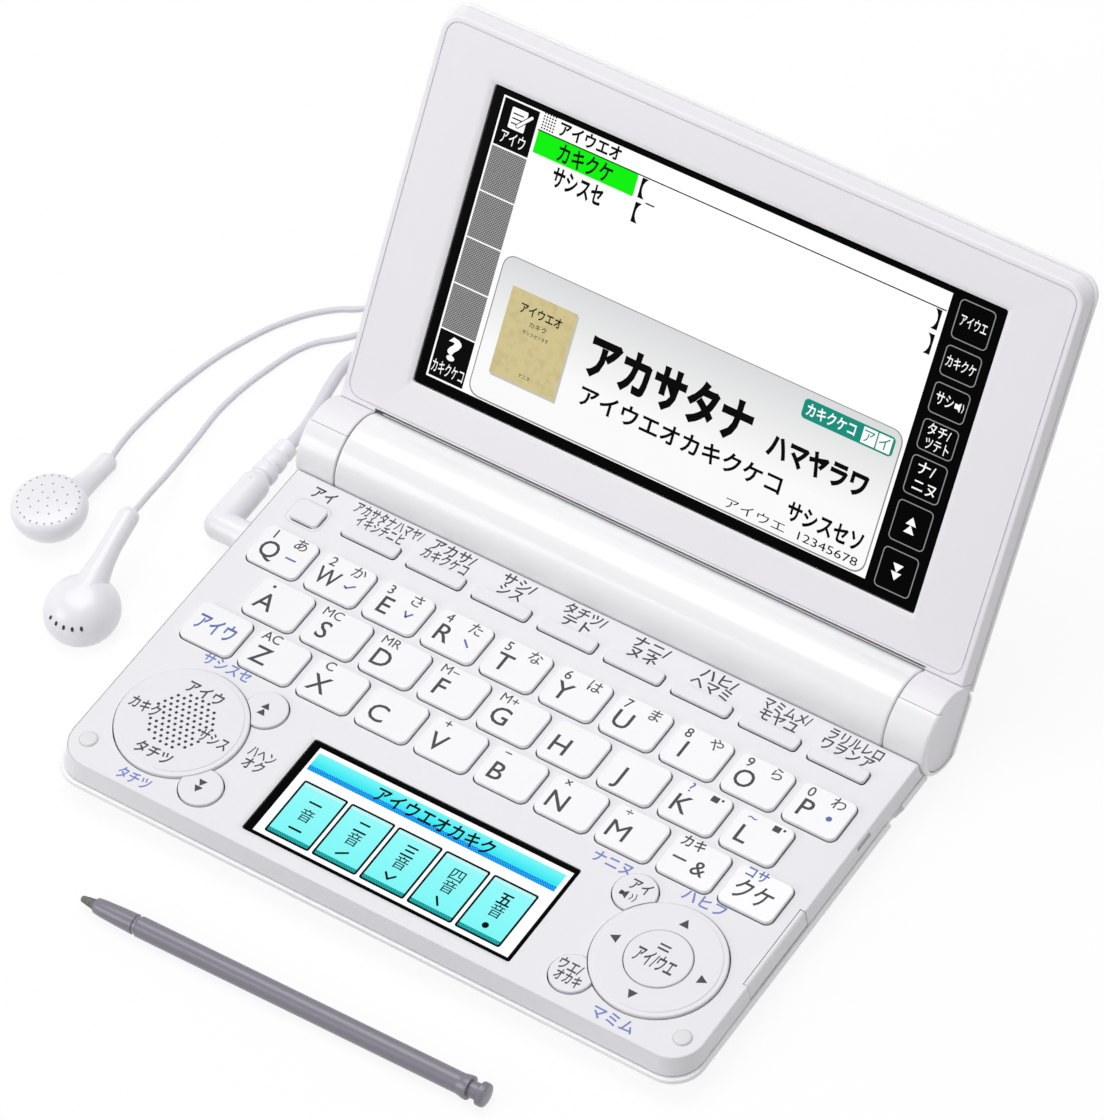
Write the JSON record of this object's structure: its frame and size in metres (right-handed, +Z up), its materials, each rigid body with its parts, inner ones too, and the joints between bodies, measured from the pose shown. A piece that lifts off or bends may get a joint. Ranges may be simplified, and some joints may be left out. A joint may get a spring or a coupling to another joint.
{
  "type": "electronic dictionary",
  "caption": "Clamshell electronic dictionary with a barrel-hinged lid and screen, a small keyboard, a handwriting pad, a stylus and plugged-in earphones.",
  "frame": {"origin": "on the flat underside of the base, below the middle of the keyboard deck", "axes": "+X towards the right side of the keyboard, +Y towards the hinge, +Z up out of the deck"},
  "size_m": [0.1934, 0.1867, 0.0856],
  "materials": {
    "gloss_white": "glossy moulded plastic",
    "satin_grey": "satin light grey plastic",
    "key_white": "glossy white key caps with printed letters",
    "screen_glass": "black glass over a lit display",
    "pad_film": "smooth film over a small display",
    "board": "lacquered circuit board",
    "cell_sleeve": "printed metal sleeve",
    "steel": "turned steel",
    "stylus_grey": "satin dark grey plastic",
    "earphone_white": "glossy white plastic",
    "cord_white": "satin off-white sheath"
  },
  "bodies": {
    "base": {"lower_case": "gloss_white", "upper_case": "satin_grey", "hinge_barrel": "gloss_white", "hinge_shaft_left": "steel", "hinge_shaft_right": "steel", "battery_left": "cell_sleeve", "battery_right": "cell_sleeve", "main_board": "board", "speaker": "steel", "touch_pad": "pad_film", "earphone_plug": "earphone_white", "earphone_cord": "cord_white", "earphone_coil": "cord_white", "earphone_leads": "cord_white", "earbud_left": "earphone_white", "earbud_right": "earphone_white"},
    "lid": {"lid_bezel": "satin_grey", "lid_cover": "gloss_white", "screen_panel": "screen_glass"},
    "card_cover": {"card_cover": "satin_grey"},
    "battery_cover": {"battery_cover": "gloss_white"},
    "stylus": {"stylus": "stylus_grey"},
    "rocker_disc": {"rocker_disc": "satin_grey"},
    "navigation_ring": {"navigation_ring": "satin_grey"},
    "key_q": {"key_q": "key_white"},
    "key_w": {"key_w": "key_white"},
    "key_e": {"key_e": "key_white"},
    "key_r": {"key_r": "key_white"},
    "key_t": {"key_t": "key_white"},
    "key_y": {"key_y": "key_white"},
    "key_u": {"key_u": "key_white"},
    "key_i": {"key_i": "key_white"},
    "key_o": {"key_o": "key_white"},
    "key_p": {"key_p": "key_white"},
    "key_a": {"key_a": "key_white"},
    "key_s": {"key_s": "key_white"},
    "key_d": {"key_d": "key_white"},
    "key_f": {"key_f": "key_white"},
    "key_g": {"key_g": "key_white"},
    "key_h": {"key_h": "key_white"},
    "key_j": {"key_j": "key_white"},
    "key_k": {"key_k": "key_white"},
    "key_l": {"key_l": "key_white"},
    "key_shift": {"key_shift": "key_white"},
    "key_z": {"key_z": "key_white"},
    "key_x": {"key_x": "key_white"},
    "key_c": {"key_c": "key_white"},
    "key_v": {"key_v": "key_white"},
    "key_b": {"key_b": "key_white"},
    "key_n": {"key_n": "key_white"},
    "key_m": {"key_m": "key_white"},
    "key_symbol": {"key_symbol": "key_white"},
    "key_delete": {"key_delete": "key_white"},
    "key_power": {"key_power": "satin_grey"},
    "function_keys": {"function_keys": "satin_grey"},
    "key_page_up": {"key_page_up": "satin_grey"},
    "key_page_down": {"key_page_down": "satin_grey"},
    "key_voice": {"key_voice": "satin_grey"},
    "key_back": {"key_back": "satin_grey"},
    "key_enter": {"key_enter": "satin_grey"}
  },
  "joints": [
    {"name": "lid_hinge", "type": "hinge", "parent": "base", "child": "lid", "pos_m": [0, 0.05095, 0.01], "axis": [1, 0, 0], "range_deg": [-26, 124]},
    {"name": "card_cover_hinge", "type": "hinge", "parent": "base", "child": "card_cover", "pos_m": [0.07235, -0.00945, 0.00695], "axis": [0, 1, 0], "range_deg": [0, 95]},
    {"name": "battery_cover_slide", "type": "slide", "parent": "base", "child": "battery_cover", "axis": [0, 1, 0], "range_m": [0, 0.008]},
    {"name": "stylus_lift", "type": "slide", "parent": "base", "child": "stylus", "axis": [0, 0, 1], "range_m": [0, 0.06]},
    {"name": "rocker_tilt", "type": "hinge", "parent": "base", "child": "rocker_disc", "pos_m": [-0.05495, -0.02325, 0.0085], "axis": [1, 0, 0], "range_deg": [-2, 2], "stiffness_Nm_per_rad": 0.05},
    {"name": "ring_tilt", "type": "hinge", "parent": "base", "child": "navigation_ring", "pos_m": [0.05495, -0.02325, 0.0085], "axis": [1, 0, 0], "range_deg": [-2, 2], "stiffness_Nm_per_rad": 0.05},
    {"name": "press_key_q", "type": "slide", "parent": "base", "child": "key_q", "axis": [0, 0, -1], "range_m": [0, 0.0008], "stiffness_N_per_m": 300},
    {"name": "press_key_w", "type": "slide", "parent": "base", "child": "key_w", "axis": [0, 0, -1], "range_m": [0, 0.0008], "stiffness_N_per_m": 300},
    {"name": "press_key_e", "type": "slide", "parent": "base", "child": "key_e", "axis": [0, 0, -1], "range_m": [0, 0.0008], "stiffness_N_per_m": 300},
    {"name": "press_key_r", "type": "slide", "parent": "base", "child": "key_r", "axis": [0, 0, -1], "range_m": [0, 0.0008], "stiffness_N_per_m": 300},
    {"name": "press_key_t", "type": "slide", "parent": "base", "child": "key_t", "axis": [0, 0, -1], "range_m": [0, 0.0008], "stiffness_N_per_m": 300},
    {"name": "press_key_y", "type": "slide", "parent": "base", "child": "key_y", "axis": [0, 0, -1], "range_m": [0, 0.0008], "stiffness_N_per_m": 300},
    {"name": "press_key_u", "type": "slide", "parent": "base", "child": "key_u", "axis": [0, 0, -1], "range_m": [0, 0.0008], "stiffness_N_per_m": 300},
    {"name": "press_key_i", "type": "slide", "parent": "base", "child": "key_i", "axis": [0, 0, -1], "range_m": [0, 0.0008], "stiffness_N_per_m": 300},
    {"name": "press_key_o", "type": "slide", "parent": "base", "child": "key_o", "axis": [0, 0, -1], "range_m": [0, 0.0008], "stiffness_N_per_m": 300},
    {"name": "press_key_p", "type": "slide", "parent": "base", "child": "key_p", "axis": [0, 0, -1], "range_m": [0, 0.0008], "stiffness_N_per_m": 300},
    {"name": "press_key_a", "type": "slide", "parent": "base", "child": "key_a", "axis": [0, 0, -1], "range_m": [0, 0.0008], "stiffness_N_per_m": 300},
    {"name": "press_key_s", "type": "slide", "parent": "base", "child": "key_s", "axis": [0, 0, -1], "range_m": [0, 0.0008], "stiffness_N_per_m": 300},
    {"name": "press_key_d", "type": "slide", "parent": "base", "child": "key_d", "axis": [0, 0, -1], "range_m": [0, 0.0008], "stiffness_N_per_m": 300},
    {"name": "press_key_f", "type": "slide", "parent": "base", "child": "key_f", "axis": [0, 0, -1], "range_m": [0, 0.0008], "stiffness_N_per_m": 300},
    {"name": "press_key_g", "type": "slide", "parent": "base", "child": "key_g", "axis": [0, 0, -1], "range_m": [0, 0.0008], "stiffness_N_per_m": 300},
    {"name": "press_key_h", "type": "slide", "parent": "base", "child": "key_h", "axis": [0, 0, -1], "range_m": [0, 0.0008], "stiffness_N_per_m": 300},
    {"name": "press_key_j", "type": "slide", "parent": "base", "child": "key_j", "axis": [0, 0, -1], "range_m": [0, 0.0008], "stiffness_N_per_m": 300},
    {"name": "press_key_k", "type": "slide", "parent": "base", "child": "key_k", "axis": [0, 0, -1], "range_m": [0, 0.0008], "stiffness_N_per_m": 300},
    {"name": "press_key_l", "type": "slide", "parent": "base", "child": "key_l", "axis": [0, 0, -1], "range_m": [0, 0.0008], "stiffness_N_per_m": 300},
    {"name": "press_key_shift", "type": "slide", "parent": "base", "child": "key_shift", "axis": [0, 0, -1], "range_m": [0, 0.0008], "stiffness_N_per_m": 300},
    {"name": "press_key_z", "type": "slide", "parent": "base", "child": "key_z", "axis": [0, 0, -1], "range_m": [0, 0.0008], "stiffness_N_per_m": 300},
    {"name": "press_key_x", "type": "slide", "parent": "base", "child": "key_x", "axis": [0, 0, -1], "range_m": [0, 0.0008], "stiffness_N_per_m": 300},
    {"name": "press_key_c", "type": "slide", "parent": "base", "child": "key_c", "axis": [0, 0, -1], "range_m": [0, 0.0008], "stiffness_N_per_m": 300},
    {"name": "press_key_v", "type": "slide", "parent": "base", "child": "key_v", "axis": [0, 0, -1], "range_m": [0, 0.0008], "stiffness_N_per_m": 300},
    {"name": "press_key_b", "type": "slide", "parent": "base", "child": "key_b", "axis": [0, 0, -1], "range_m": [0, 0.0008], "stiffness_N_per_m": 300},
    {"name": "press_key_n", "type": "slide", "parent": "base", "child": "key_n", "axis": [0, 0, -1], "range_m": [0, 0.0008], "stiffness_N_per_m": 300},
    {"name": "press_key_m", "type": "slide", "parent": "base", "child": "key_m", "axis": [0, 0, -1], "range_m": [0, 0.0008], "stiffness_N_per_m": 300},
    {"name": "press_key_symbol", "type": "slide", "parent": "base", "child": "key_symbol", "axis": [0, 0, -1], "range_m": [0, 0.0008], "stiffness_N_per_m": 300},
    {"name": "press_key_delete", "type": "slide", "parent": "base", "child": "key_delete", "axis": [0, 0, -1], "range_m": [0, 0.0008], "stiffness_N_per_m": 300},
    {"name": "press_key_power", "type": "slide", "parent": "base", "child": "key_power", "axis": [0, 0, -1], "range_m": [0, 0.0008], "stiffness_N_per_m": 300},
    {"name": "press_function_keys", "type": "slide", "parent": "base", "child": "function_keys", "axis": [0, 0, -1], "range_m": [0, 0.0008], "stiffness_N_per_m": 300},
    {"name": "press_key_page_up", "type": "slide", "parent": "base", "child": "key_page_up", "axis": [0, 0, -1], "range_m": [0, 0.0006], "stiffness_N_per_m": 300},
    {"name": "press_key_page_down", "type": "slide", "parent": "base", "child": "key_page_down", "axis": [0, 0, -1], "range_m": [0, 0.0006], "stiffness_N_per_m": 300},
    {"name": "press_key_voice", "type": "slide", "parent": "base", "child": "key_voice", "axis": [0, 0, -1], "range_m": [0, 0.0006], "stiffness_N_per_m": 300},
    {"name": "press_key_back", "type": "slide", "parent": "base", "child": "key_back", "axis": [0, 0, -1], "range_m": [0, 0.0006], "stiffness_N_per_m": 300},
    {"name": "press_key_enter", "type": "slide", "parent": "base", "child": "key_enter", "axis": [0, 0, -1], "range_m": [0, 0.0008], "stiffness_N_per_m": 300}
  ]
}
